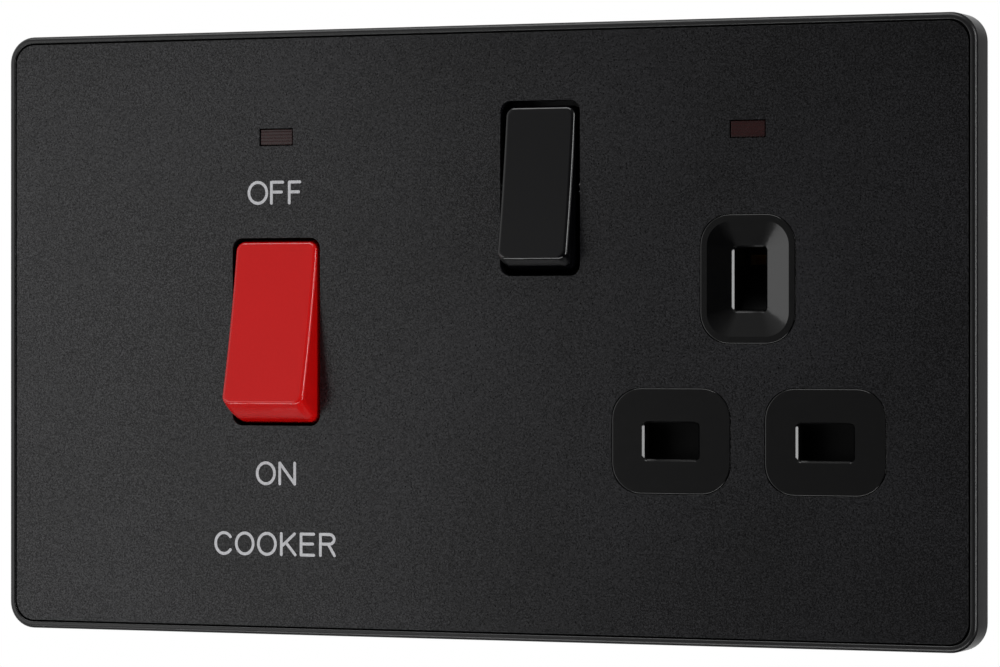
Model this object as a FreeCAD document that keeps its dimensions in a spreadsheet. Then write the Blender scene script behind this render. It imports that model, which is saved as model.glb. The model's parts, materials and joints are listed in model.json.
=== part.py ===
import FreeCAD, Part
import math
import operator
import os
from types import SimpleNamespace
import Sketcher

# Cooker control unit: a double wall plate with a two-pole cooker switch and a switched socket outlet.
# X runs to the right, Y into the wall and Z up. The wall is at y = 0.
# The origin is midway between the two wall screw holes.

os.makedirs("parts", exist_ok=True)
doc = FreeCAD.newDocument("cooker_control_unit")
Vector = FreeCAD.Vector

# Driving dimensions, in millimetres and degrees. A share is a place as a part of the plate's width or
# height, from its middle.
DIMENSIONS = {
    # Plate and its clip-on frame
    "plate_width": 146.0,
    "plate_height": 86.0,
    "plate_depth": 5.5,
    "plate_corner": 3.8,
    "plate_edge_round": 0.6,
    "rim_width": 1.0,
    "rim_gap": 0.2,
    "sheet_thickness": 1.2,
    "frame_web": 1.5,
    "frame_wall": 2.0,
    "clip_length": 12.0,
    "clip_spacing": 90.0,
    # Clearances
    "slip_gap": 0.1,
    "running_gap": 0.05,
    "moving_gap": 0.3,
    # Flange and wall screw holes
    "flange_inset": 4.0,
    "flange_corner": 3.0,
    "screw_inset": 12.7,
    "screw_hole": 4.5,
    "screw_head_hole": 8.4,
    "screw_head_depth": 1.8,
    # Rear body
    "body_depth": 24.0,
    "body_wall": 1.6,
    "body_floor": 2.0,
    "body_corner": 2.0,
    "notch_width": 4.9,
    "notch_height": 16.0,
    # Cooker switch
    "cooker_x_share": -0.2065,
    "cooker_z_share": 0.0012,
    "cooker_well_width": 13.66,
    "cooker_well_height": 26.7,
    "cooker_well_depth": 6.5,
    "cooker_pivot_depth": 3.3,
    "cooker_tilt": 12.6,
    "cooker_face_half": 11.67,
    "cooker_face_rise": 6.0,
    "cooker_face_hollow": 0.36,
    "cooker_rocker_width": 12.7,
    "cooker_skirt": 2.4,
    "cooker_pin": 2.8,
    "cooker_plunger_reach": 12.0,
    "cooker_arm": 11.0,
    "cooker_arm_tilt": 8.0,
    "pole_spacing": 6.2,
    # Socket switch
    "socket_x_share": 0.0699,
    "socket_z_share": 0.2334,
    "socket_well_width": 11.9,
    "socket_well_height": 24.4,
    "socket_well_depth": 4.25,
    "socket_pivot_depth": 2.5,
    "socket_tilt": 9.4,
    "socket_face_half": 10.69,
    "socket_face_rise": 4.28,
    "socket_face_hollow": 0.3,
    "socket_rocker_width": 10.45,
    "socket_skirt": 2.4,
    "socket_pin": 2.0,
    "socket_plunger_reach": 12.8,
    "socket_arm": 7.6,
    "socket_arm_tilt": 7.0,
    # Rockers and wells in common
    "well_corner": 1.5,
    "well_margin": 0.15,
    "well_end_wall": 1.2,
    "well_side_wall": 2.2,
    "pin_length": 1.35,
    "rocker_wall": 1.2,
    "rocker_corner": 1.3,
    "rocker_edge_round": 0.6,
    "plunger_radius": 1.3,
    "plunger_length": 7.5,
    "plunger_sleeve": 0.8,
    "sleeve_reach": 8.5,
    "spigot_length": 1.0,
    "spring_seat": 2.5,
    "spring_wire": 0.35,
    "spring_turns": 4.0,
    # Moving contacts
    "arm_thickness": 1.0,
    "arm_width": 4.6,
    "dimple_angle": 20.0,
    "dimple_half": 4.0,
    "rivet_radius": 1.6,
    "rivet_height": 0.8,
    "rivet_inset": 2.0,
    # Fixed conductors
    "strip_front": 14.3,
    "strip_thickness": 1.5,
    "bar_thickness": 1.2,
    "bar_width": 5.0,
    "bar_drop": 1.4,
    "post_half": 1.6,
    "foot_half": 2.2,
    "bar_offset": 2.9,
    "load_strip_inset": 8.0,
    "load_strip_width": 4.0,
    "peg_width": 3.0,
    "block_width": 10.0,
    "block_height": 9.0,
    "block_front": 12.0,
    "block_spread": 14.4,
    "block_inset": 8.8,
    "block_margin": 2.0,
    "earth_block_width": 18.0,
    "cable_bore": 6.6,
    "cable_bore_depth": 16.0,
    "terminal_screw": 4.6,
    "terminal_screw_length": 4.4,
    "terminal_screw_stand": 1.2,
    "screw_slot": 0.8,
    # Socket outlet
    "outlet_x_share": 0.2784,
    "pin_z_share": -0.1736,
    "pin_spacing": 22.23,
    "island_width": 17.35,
    "island_height": 14.6,
    "earth_island_width": 13.8,
    "earth_island_height": 17.75,
    "island_corner": 4.3,
    "island_edge_round": 0.2,
    "dish_rim": 1.0,
    "dish_depth": 0.9,
    "pin_hole_width": 7.9,
    "pin_hole_height": 5.0,
    "earth_hole_width": 4.6,
    "earth_hole_height": 8.7,
    "hole_corner": 0.5,
    "hole_chamfer": 0.27,
    "island_wall": 2.2,
    "outlet_web": 1.3,
    "contact_mouth": 3.4,
    "contact_neck": 3.1,
    "contact_base": 2.9,
    "contact_flare": 1.3,
    "contact_sheet": 0.7,
    "contact_pinch": 1.7,
    "contact_width": 5.5,
    "earth_contact_mouth": 6.6,
    "earth_contact_width": 7.0,
    "earth_contact_back": 18.9,
    # Shutter
    "shutter_travel": 6.2,
    "shutter_thickness": 1.8,
    "blade_cover": 0.75,
    "shutter_stem": 8.5,
    "ramp_width": 6.0,
    "shutter_spring_radius": 1.5,
    "shutter_spring_turns": 5.0,
    "shutter_seat": 2.0,
    "rail_lip": 0.8,
    "rail_thickness": 1.2,
    "rail_length": 8.0,
    # Neon windows and lamps
    "neon_width": 4.94,
    "neon_height": 2.2,
    "neon_gap": 0.15,
    "neon_z_share": 0.3233,
    "lens_step": 1.1,
    "lens_recess": 0.15,
    "lamp_radius": 1.9,
    "lamp_length": 9.0,
    "lamp_depth": 3.2,
    "resistor_radius": 1.2,
    "resistor_length": 6.5,
    "lead_radius": 0.3,
    "lead_length": 1.0,
    "cradle_offset": 3.6,
    "cradle_width": 3.0,
    "cradle_thickness": 1.2,
    # Cover screws
    "boss_radius": 2.7,
    "boss_split": 12.0,
    "boss_inset": 4.8,
    "boss_pilot": 2.0,
    "cover_screw": 2.4,
    "cover_screw_head": 5.0,
    "cover_screw_head_height": 1.6,
    "cover_screw_length": 16.0,
    "barrier": 0.8,
}

sheet = doc.addObject("Spreadsheet::Sheet", "Sizes")
for row, (alias, number) in enumerate(DIMENSIONS.items(), start=1):
    sheet.set(f"A{row}", alias)
    sheet.set(f"B{row}", str(number))
    sheet.setAlias(f"B{row}", alias)
doc.recompute()

OPERATIONS = {"+": operator.add, "-": operator.sub, "*": operator.mul, "/": operator.truediv}


class Size:
    """A size that keeps the expression it comes from beside its present value."""

    def __init__(self, text, value):
        self.text = text
        self.value = value

    def __add__(self, other):
        return combine(self, "+", other)

    def __radd__(self, other):
        return combine(other, "+", self)

    def __sub__(self, other):
        return combine(self, "-", other)

    def __rsub__(self, other):
        return combine(other, "-", self)

    def __mul__(self, other):
        return combine(self, "*", other)

    def __rmul__(self, other):
        return combine(other, "*", self)

    def __truediv__(self, other):
        return combine(self, "/", other)

    def __neg__(self):
        return combine(0, "-", self)


def as_size(amount):
    return amount if isinstance(amount, Size) else Size(repr(float(amount)), float(amount))


def combine(left, sign, right):
    left, right = as_size(left), as_size(right)
    return Size(f"({left.text} {sign} {right.text})", OPERATIONS[sign](left.value, right.value))


def sine(angle):
    return Size(f"sin({angle.text})", math.sin(math.radians(angle.value)))


def cosine(angle):
    return Size(f"cos({angle.text})", math.cos(math.radians(angle.value)))


def tangent(angle):
    return Size(f"tan({angle.text})", math.tan(math.radians(angle.value)))


def root(amount):
    return Size(f"sqrt({amount.text})", math.sqrt(amount.value))


size = SimpleNamespace(
    **{alias: Size(f"Sizes.{alias}", float(sheet.get(alias))) for alias in DIMENSIONS}
)


def bind(item, prop, amount):
    item.setExpression(prop, as_size(amount).text)


# Sketch profiles: each function returns one that draws itself in a sketch
def set_point(rules, geometry, end, x, y):
    for kind, amount in (("DistanceX", as_size(x)), ("DistanceY", as_size(y))):
        rules.append((Sketcher.Constraint(kind, -1, 1, geometry, end, amount.value), amount))


def set_radius(rules, geometry, radius):
    radius = as_size(radius)
    rules.append((Sketcher.Constraint("Radius", geometry, radius.value), radius))


def circle(x, y, radius):
    def draw(sketch, rules):
        centre = Vector(as_size(x).value, as_size(y).value, 0)
        ring = sketch.addGeometry(Part.Circle(centre, Vector(0, 0, 1), as_size(radius).value), False)
        set_point(rules, ring, 3, x, y)
        set_radius(rules, ring, radius)

    return draw


def arc_between(start, end, radius, turn):
    """The minor arc from start to end, with its centre on the left for turn 1 and right for -1."""
    middle = (start + end) * 0.5
    chord = end - start
    side = Vector(-chord.y, chord.x, 0).normalize() * turn
    centre = middle + side * math.sqrt(max(radius**2 - (chord.Length / 2) ** 2, 0))
    first, last = (start, end) if turn > 0 else (end, start)
    angles = [math.atan2(p.y - centre.y, p.x - centre.x) for p in (first, last)]
    if angles[1] < angles[0]:
        angles[1] += 2 * math.pi
    return Part.ArcOfCircle(Part.Circle(centre, Vector(0, 0, 1), radius), *angles)


def outline(*corners):
    """A closed outline. A corner is (x, y), or (x, y, radius, turn) where an arc leaves it."""

    def draw(sketch, rules):
        points = [Vector(as_size(c[0]).value, as_size(c[1]).value, 0) for c in corners]
        edges = []
        for number, corner in enumerate(corners):
            start, end = points[number], points[(number + 1) % len(points)]
            if len(corner) == 2:
                edges.append((sketch.addGeometry(Part.LineSegment(start, end), False), 1, 2))
                continue
            radius, turn = as_size(corner[2]), corner[3]
            arc = sketch.addGeometry(arc_between(start, end, radius.value, turn), False)
            edges.append((arc, 1, 2) if turn > 0 else (arc, 2, 1))
        for number, corner in enumerate(corners):
            edge, first, last = edges[number]
            following = edges[(number + 1) % len(edges)]
            rules.append((Sketcher.Constraint("Coincident", edge, last, *following[:2]), None))
            set_point(rules, edge, first, corner[0], corner[1])
            if len(corner) > 2:
                set_radius(rules, edge, corner[2])

    return draw


def rectangle(x, y, width, height, corner=None):
    """A rectangle centred on x, y, with rounded corners where a corner radius is given."""
    left, right = x - width / 2, x + width / 2
    low, high = y - height / 2, y + height / 2
    if corner is None:
        return outline((left, low), (right, low), (right, high), (left, high))
    return outline(
        (left + corner, low),
        (right - corner, low, corner, 1),
        (right, low + corner),
        (right, high - corner, corner, 1),
        (right - corner, high),
        (left + corner, high, corner, 1),
        (left, high - corner),
        (left, low + corner, corner, 1),
    )


def span(left, right, low, high):
    """A plain rectangle between four limits."""
    return outline((left, low), (right, low), (right, high), (left, high))


# Bodies: material is added or cut along one axis between two limits
PLANES = {"X": ("YZ_Plane", 1), "Y": ("XZ_Plane", -1), "Z": ("XY_Plane", 1)}
pieces = []


def new_body(label):
    body = doc.addObject("PartDesign::Body", label)
    body.Label = label
    pieces.append(body)
    return body


def draw_sketch(body, role, offset, profiles):
    sketch = body.newObject("Sketcher::SketchObject", "Outline")
    plane = next(item for item in body.Origin.OriginFeatures if item.Role == role)
    sketch.AttachmentSupport = (plane, [""])
    sketch.MapMode = "FlatFace"
    bind(sketch, "AttachmentOffset.Base.z", offset)
    rules = []
    for draw in profiles:
        draw(sketch, rules)
    numbers = sketch.addConstraint([rule for rule, amount in rules])
    for number, (rule, amount) in zip(numbers, rules):
        if amount is not None:
            bind(sketch, f"Constraints[{number}]", amount)
    return sketch


def extrude(kind, body, axis, low, high, profiles):
    role, sign = PLANES[axis]
    starts_low = (kind == "PartDesign::Pad") == (sign > 0)
    sketch = draw_sketch(body, role, sign * as_size(low if starts_low else high), profiles)
    result = body.newObject(kind, kind.split("::")[1])
    result.Profile = sketch
    bind(result, "Length", as_size(high) - low)
    return result


def add(body, axis, low, high, *profiles):
    return extrude("PartDesign::Pad", body, axis, low, high, profiles)


def cut(body, axis, low, high, *profiles):
    return extrude("PartDesign::Pocket", body, axis, low, high, profiles)


def taper_cut(body, front, depth, angle, profile):
    """A pocket along Y whose sides lean inwards by an angle."""
    sketch = draw_sketch(body, "XZ_Plane", -front, [profile])
    result = body.newObject("PartDesign::Pocket", "TaperedPocket")
    result.Profile = sketch
    bind(result, "Length", depth)
    bind(result, "TaperAngle", -angle)
    return result


def funnel_cut(body, front, back, mouth, throat):
    """A pocket along Y that runs evenly from one outline at its front to another at its back."""
    result = body.newObject("PartDesign::SubtractiveLoft", "Funnel")
    result.Profile = draw_sketch(body, "XZ_Plane", -front, [mouth])
    result.Sections = [draw_sketch(body, "XZ_Plane", -back, [throat])]
    return result


def turn_about_y(body, profile):
    sketch = draw_sketch(body, "XY_Plane", 0, [profile])
    result = body.newObject("PartDesign::Revolution", "Revolution")
    result.Profile = sketch
    result.ReferenceAxis = (sketch, ["V_Axis"])
    result.Angle = 360
    return result


def place(piece, x, y, z, tilt):
    """Set a piece, made about its own pivot, in the unit and tilt it about X."""
    piece.Placement.Rotation = FreeCAD.Rotation(Vector(1, 0, 0), as_size(tilt).value)
    bind(piece, "Placement.Base.x", x)
    bind(piece, "Placement.Base.y", y)
    bind(piece, "Placement.Base.z", z)
    bind(piece, "Placement.Rotation.Angle", tilt)


def dress(kind, body, amount, wanted):
    """A fillet or chamfer on the edges of the body's last feature that a test picks."""
    doc.recompute()
    base = body.Tip
    edges = [f"Edge{n}" for n, edge in enumerate(base.Shape.Edges, start=1) if wanted(edge.BoundBox)]
    result = body.newObject(kind, kind.split("::")[1])
    result.Base = (base, edges)
    bind(result, "Radius" if kind.endswith("Fillet") else "Size", amount)
    return result


def near(first, second):
    return abs(first - second) < 1e-4


# Places that several pieces share
plate_front = -size.plate_depth
sheet_back = plate_front + size.sheet_thickness
web_back = sheet_back + size.frame_web
flange_front = web_back + size.slip_gap
recess_width = size.plate_width - 2 * size.rim_width
recess_height = size.plate_height - 2 * size.rim_width
well_front = sheet_back + size.running_gap
cover_inside = size.body_depth - size.body_floor
block_back = cover_inside - size.slip_gap
flange_width = size.plate_width - 2 * size.flange_inset
flange_height = size.plate_height - 2 * size.flange_inset
outlet_x = size.plate_width * size.outlet_x_share
pin_z = size.plate_height * size.pin_z_share
earth_z = pin_z + size.pin_spacing
line_x = outlet_x - size.pin_spacing / 2
neutral_x = outlet_x + size.pin_spacing / 2
load_strip_x = line_x - size.load_strip_inset
blade_half = (size.pin_spacing + size.pin_hole_width) / 2 + size.blade_cover
shutter_front = flange_front + size.outlet_web + size.slip_gap
shutter_back = shutter_front + size.shutter_thickness
strip_back = size.strip_front + size.strip_thickness
bar_front = strip_back + size.bar_drop
bar_back = bar_front + size.bar_thickness


class Switch:
    """The places of one rocker switch and of the contact arm behind it."""

    def __init__(self, name):
        for item in ("well_width", "well_height", "well_depth", "pivot_depth", "tilt",
                     "face_half", "face_rise", "face_hollow", "rocker_width", "skirt",
                     "pin", "plunger_reach", "arm", "arm_tilt"):
            setattr(self, item, getattr(size, f"{name}_{item}"))
        self.name = name
        self.x = size.plate_width * getattr(size, f"{name}_x_share")
        self.z = size.plate_height * getattr(size, f"{name}_z_share")
        self.pivot_y = plate_front + self.pivot_depth
        # The rocker's two ends lie on one circle about its pivot
        self.flank = root(self.face_half * self.face_half + self.face_rise * self.face_rise)
        self.inner_width = self.well_width + 2 * size.well_margin
        self.inner_height = self.well_height + 2 * size.well_margin
        self.well_back = well_front + self.well_depth
        # The plunger's tip presses this far off centre, into the sloping side of the arm's dimple
        self.press = self.plunger_reach * sine(self.tilt)
        tip_y = self.pivot_y + self.plunger_reach * cosine(self.tilt)
        slope = size.dimple_angle - self.arm_tilt
        rise = self.press * (tangent(size.dimple_angle) * cosine(self.arm_tilt) - sine(self.arm_tilt))
        arm_front = tip_y + size.plunger_radius / cosine(slope) + rise + size.slip_gap
        self.arm_pivot_y = arm_front + size.arm_thickness * cosine(self.arm_tilt)
        # The rivet meets the fixed contact when the arm is tilted the other way
        self.dimple_depth = size.dimple_half * tangent(size.dimple_angle)
        self.rivet_z = self.arm - size.rivet_inset
        rivet_back = size.rivet_height - self.dimple_depth
        rivet_top = self.rivet_z + size.rivet_radius
        swing = rivet_back * cosine(self.arm_tilt) + rivet_top * sine(self.arm_tilt)
        self.fixed_contact_y = self.arm_pivot_y + swing + size.slip_gap


cooker = Switch("cooker")
socket = Switch("socket")
neon_z = size.plate_height * size.neon_z_share
block_reach = (size.block_spread + size.block_width) / 2 + size.block_margin
body_left = cooker.x - block_reach - size.body_wall
body_right = outlet_x + blade_half + size.moving_gap + size.body_wall
socket_reach = root(socket.flank * socket.flank - socket.pivot_y * socket.pivot_y)
body_top = socket.z + socket_reach + 2 * size.slip_gap + size.body_wall
block_z = body_top - size.block_inset
boss_left = cooker.x + block_reach + size.boss_radius
boss_right = body_right - size.boss_inset
boss_z = body_top - size.boss_inset
POLES = {"line": size.pole_spacing / 2, "neutral": -size.pole_spacing / 2}
BLOCKS = {"line": size.block_spread / 2, "neutral": -size.block_spread / 2}
NEONS = {
    "cooker": (cooker.x, neon_z),
    "socket": (outlet_x, neon_z),
}
PIN_HOLES = (
    (line_x, pin_z, size.pin_hole_width, size.pin_hole_height),
    (neutral_x, pin_z, size.pin_hole_width, size.pin_hole_height),
    (outlet_x, earth_z, size.earth_hole_width, size.earth_hole_height),
)
ISLANDS = (
    (line_x, pin_z, size.island_width, size.island_height),
    (neutral_x, pin_z, size.island_width, size.island_height),
    (outlet_x, earth_z, size.earth_island_width, size.earth_island_height),
)
BOSSES = [(x, z) for x in (boss_left, boss_right) for z in (boss_z, -boss_z)]


# Front sheet: flat, with a close aperture for each rocker, island and neon window
front_plate = new_body("front_plate")
add(
    front_plate, "Y", plate_front, sheet_back,
    rectangle(as_size(0), as_size(0), recess_width - 2 * size.rim_gap,
              recess_height - 2 * size.rim_gap, size.plate_corner - size.rim_width),
    *(rectangle(s.x, s.z, s.well_width, s.well_height, size.well_corner) for s in (cooker, socket)),
    *(rectangle(x, z, width + size.slip_gap, height + size.slip_gap, size.island_corner)
      for x, z, width, height in ISLANDS),
    *(rectangle(x, z, size.neon_width + 2 * size.neon_gap, size.neon_height + 2 * size.neon_gap)
      for x, z in NEONS.values()),
)

# Clip-on frame: a shallow moulding, open at the back, with a step for the sheet
clip_on_frame = new_body("clip_on_frame")
add(
    clip_on_frame, "Y", plate_front, 0,
    rectangle(as_size(0), as_size(0), size.plate_width, size.plate_height, size.plate_corner),
)
dress(
    "PartDesign::Fillet", clip_on_frame, size.plate_edge_round,
    lambda box: near(box.YMax, plate_front.value),
)
cut(
    clip_on_frame, "Y", plate_front, sheet_back,
    rectangle(as_size(0), as_size(0), recess_width, recess_height, size.plate_corner - size.rim_width),
)
cut(
    clip_on_frame, "Y", web_back, 0,
    rectangle(as_size(0), as_size(0), size.plate_width - 2 * size.frame_wall,
              size.plate_height - 2 * size.frame_wall, size.plate_corner - size.frame_wall),
)
cut(
    clip_on_frame, "Y", sheet_back, web_back,
    *(rectangle(s.x, s.z, s.inner_width + 2 * (size.well_side_wall + size.slip_gap),
                s.inner_height + 2 * (size.well_end_wall + size.slip_gap)) for s in (cooker, socket)),
    *(rectangle(x, z, width + 2 * size.slip_gap, height + 2 * size.slip_gap)
      for x, z, width, height in ISLANDS),
    *(rectangle(x, z, size.neon_width + 2 * (size.lens_step + size.slip_gap),
                size.neon_height + 2 * (size.lens_step + size.slip_gap)) for x, z in NEONS.values()),
)
clip_reach = size.flange_inset - size.frame_wall - size.slip_gap
for side in (-1, 1):
    clip_z = side * (flange_height / 2 + size.slip_gap + clip_reach / 2)
    add(
        clip_on_frame, "Y", web_back, -size.slip_gap,
        *(rectangle(x, clip_z, size.clip_length, clip_reach)
          for x in (-size.clip_spacing / 2, size.clip_spacing / 2)),
    )

# Front moulding: flange, rocker wells, islands for the pin holes and bosses for the cover screws
front_moulding = new_body("front_moulding")
add(
    front_moulding, "Y", flange_front, 0,
    rectangle(as_size(0), as_size(0), flange_width, flange_height, size.flange_corner),
)
add(
    front_moulding, "Y", plate_front, flange_front,
    *(rectangle(*island, size.island_corner) for island in ISLANDS),
)
dress(
    "PartDesign::Fillet", front_moulding, size.island_edge_round,
    lambda box: near(box.YMax, plate_front.value),
)
for s in (cooker, socket):
    add(
        front_moulding, "Y", well_front, s.well_back,
        rectangle(s.x, s.z, s.inner_width + 2 * size.well_side_wall,
                  s.inner_height + 2 * size.well_end_wall),
    )
for s in (cooker, socket):
    cut(
        front_moulding, "Y", well_front, s.well_back,
        rectangle(s.x, s.z, s.inner_width, s.inner_height, size.well_corner),
    )
    pin_room = s.inner_width / 2 + size.pin_length
    cut(
        front_moulding, "X", s.x - pin_room, s.x + pin_room,
        circle(s.pivot_y, s.z, s.pin / 2 + size.running_gap),
    )
add(
    front_moulding, "Y", 0, size.boss_split - size.slip_gap,
    *(circle(x, z, size.boss_radius) for x, z in BOSSES),
)
cut(
    front_moulding, "Y", size.boss_pilot, size.boss_split - size.slip_gap,
    *(circle(x, z, size.cover_screw / 2) for x, z in BOSSES),
)
for side in (-1, 1):
    screw_x = side * (size.plate_width / 2 - size.screw_inset)
    cut(front_moulding, "Y", flange_front, 0, circle(screw_x, as_size(0), size.screw_hole / 2))
    cut(
        front_moulding, "Y", flange_front, flange_front + size.screw_head_depth,
        circle(screw_x, as_size(0), size.screw_head_hole / 2),
    )
# Shutter race behind the outlet's web
blade_top = pin_z + size.pin_hole_height / 2 + size.blade_cover
blade_bottom = pin_z - size.pin_hole_height / 2 - size.blade_cover
ramp_foot = earth_z - size.earth_hole_height / 2 + size.moving_gap
ramp_back = shutter_front + size.shutter_travel
race_front = flange_front + size.outlet_web
dish_floor = plate_front + size.dish_depth
stem_half = size.shutter_stem / 2
cut(
    front_moulding, "Y", race_front, 0,
    span(outlet_x - blade_half - size.moving_gap, outlet_x + blade_half + size.moving_gap,
         blade_bottom - size.shutter_travel - size.moving_gap, blade_top + size.moving_gap),
)
cut(
    front_moulding, "Y", race_front, 0,
    span(outlet_x - stem_half - size.moving_gap, outlet_x + stem_half + size.moving_gap,
         blade_top, ramp_foot - shutter_front + size.moving_gap),
)
for side in (-1, 1):
    # Each rail is a post beside the stem with a lip over its edge
    post_inner = outlet_x + side * (stem_half + size.moving_gap)
    post_outer = post_inner + side * size.rail_thickness
    lip_inner = outlet_x + side * (stem_half - size.rail_lip)
    rail_low = blade_top + size.rail_thickness
    lip_front = shutter_back + size.slip_gap
    for inner, front in ((post_inner, as_size(0)), (lip_inner, lip_front)):
        left, right = (inner, post_outer) if side > 0 else (post_outer, inner)
        add(
            front_moulding, "Y", front, lip_front + size.rail_thickness,
            span(left, right, rail_low, rail_low + size.rail_length),
        )
# Pin holes, with a hollow behind each flat island and a dished face round the earth hole
cut(
    front_moulding, "Y", plate_front + size.island_wall, race_front,
    *(rectangle(x, pin_z, size.island_width - 2 * size.island_wall,
                size.island_height - 2 * size.island_wall) for x in (line_x, neutral_x)),
)
funnel_cut(
    front_moulding, plate_front, dish_floor,
    rectangle(outlet_x, earth_z, size.earth_island_width - 2 * size.dish_rim,
              size.earth_island_height - 2 * size.dish_rim, size.island_corner - size.dish_rim),
    rectangle(outlet_x, earth_z, size.earth_hole_width + 2 * size.hole_chamfer,
              size.earth_hole_height + 2 * size.hole_chamfer, size.hole_corner + size.hole_chamfer),
)
cut(
    front_moulding, "Y", plate_front, race_front,
    *(rectangle(*hole, size.hole_corner) for hole in PIN_HOLES),
)
cut(
    front_moulding, "Y", race_front, 0,
    rectangle(outlet_x, earth_z, size.earth_hole_width, size.earth_hole_height),
)
for (x, z, width, height), face in zip(PIN_HOLES, (plate_front, plate_front, dish_floor)):
    taper_cut(
        front_moulding, face, size.hole_chamfer, as_size(45),
        rectangle(x, z, width + 2 * size.hole_chamfer, height + 2 * size.hole_chamfer,
                  size.hole_corner + size.hole_chamfer),
    )
# Neon slots, and a cradle under each lamp and resistor
cut(
    front_moulding, "Y", flange_front, 0,
    *(rectangle(x, z, size.neon_width + 2 * size.slip_gap, size.neon_height + 2 * size.slip_gap)
      for x, z in NEONS.values()),
)
LAMP_SIDES = {"cooker": 1, "socket": -1}
resistor_offset = size.lamp_length / 2 + 2 * size.lead_length + size.resistor_length / 2
for name, (x, z) in NEONS.items():
    add(
        front_moulding, "Y", 0, size.lamp_depth - size.lamp_radius - size.running_gap,
        *(rectangle(x + side * size.cradle_offset, z, size.cradle_thickness, size.cradle_width)
          for side in (-1, 1)),
    )
    add(
        front_moulding, "Y", 0, size.lamp_depth - size.resistor_radius - size.running_gap,
        rectangle(x + LAMP_SIDES[name] * resistor_offset, z, size.cradle_thickness, size.cradle_width),
    )

# Rear cover: a deep tray with cable windows, screw access, pillars and barriers
rear_cover = new_body("rear_cover")
rim_front = size.slip_gap
add(
    rear_cover, "Y", rim_front, size.body_depth,
    rectangle((body_left + body_right) / 2, as_size(0), body_right - body_left, 2 * body_top,
              size.body_corner),
)
top_inside = body_top - size.body_wall
notch_left = body_right - size.notch_width
notch_inside = size.notch_height / 2 + size.body_wall
cut(
    rear_cover, "Y", rim_front, cover_inside,
    span(body_left + size.body_wall, notch_left - size.body_wall, -top_inside, top_inside),
)
for low, high in ((notch_inside, top_inside), (-top_inside, -notch_inside)):
    cut(
        rear_cover, "Y", rim_front, cover_inside,
        span(notch_left - size.body_wall - size.slip_gap, body_right - size.body_wall, low, high),
    )
cut(
    rear_cover, "Y", rim_front, size.body_depth,
    span(notch_left, body_right + size.body_wall, -size.notch_height / 2, size.notch_height / 2),
)
TERMINALS = [(cooker.x + shift, side * block_z) for side in (-1, 1) for shift in BLOCKS.values()]
TERMINALS += [(outlet_x + side * size.earth_block_width / 4, block_z) for side in (-1, 1)]
cable_window = size.cable_bore + 2 * size.moving_gap
for x, z in TERMINALS:
    low, high = (top_inside, top_inside + size.body_wall)
    if z.value < 0:
        low, high = (-high, -low)
    cut(rear_cover, "Z", low, high, rectangle(x, size.cable_bore_depth, cable_window, cable_window))
add(
    rear_cover, "Y", size.boss_split, cover_inside,
    *(circle(x, z, size.boss_radius) for x, z in BOSSES),
)
barrier_low = pin_z + size.bar_width / 2 + size.moving_gap
add(
    rear_cover, "Y", size.boss_split, cover_inside,
    span(cooker.x - size.barrier / 2, cooker.x + size.barrier / 2, barrier_low, top_inside),
)
# Pegs on the floor that back the strips and busbars
strip_bar_back = size.strip_front + size.bar_thickness
add(
    rear_cover, "Y", strip_bar_back + size.running_gap, cover_inside,
    *(rectangle(x, z, size.peg_width, size.peg_width)
      for x, z in ((load_strip_x, socket.z), (socket.x, socket.z), (socket.x, size.bar_offset - block_z))),
)
add(
    rear_cover, "Y", bar_back + size.running_gap, cover_inside,
    *(rectangle(x, pin_z, size.peg_width, size.peg_width) for x in (boss_left, neutral_x)),
)
head_seat = size.body_depth - size.cover_screw_head_height
cut(
    rear_cover, "Y", size.boss_split, size.body_depth,
    *(circle(x, z, size.cover_screw / 2 + size.running_gap) for x, z in BOSSES),
)
cut(
    rear_cover, "Y", head_seat, size.body_depth,
    *(circle(x, z, size.cover_screw_head / 2 + size.slip_gap) for x, z in BOSSES),
)
cut(
    rear_cover, "Y", cover_inside, size.body_depth,
    *(circle(x, z, size.terminal_screw / 2 + size.moving_gap) for x, z in TERMINALS),
)


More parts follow.
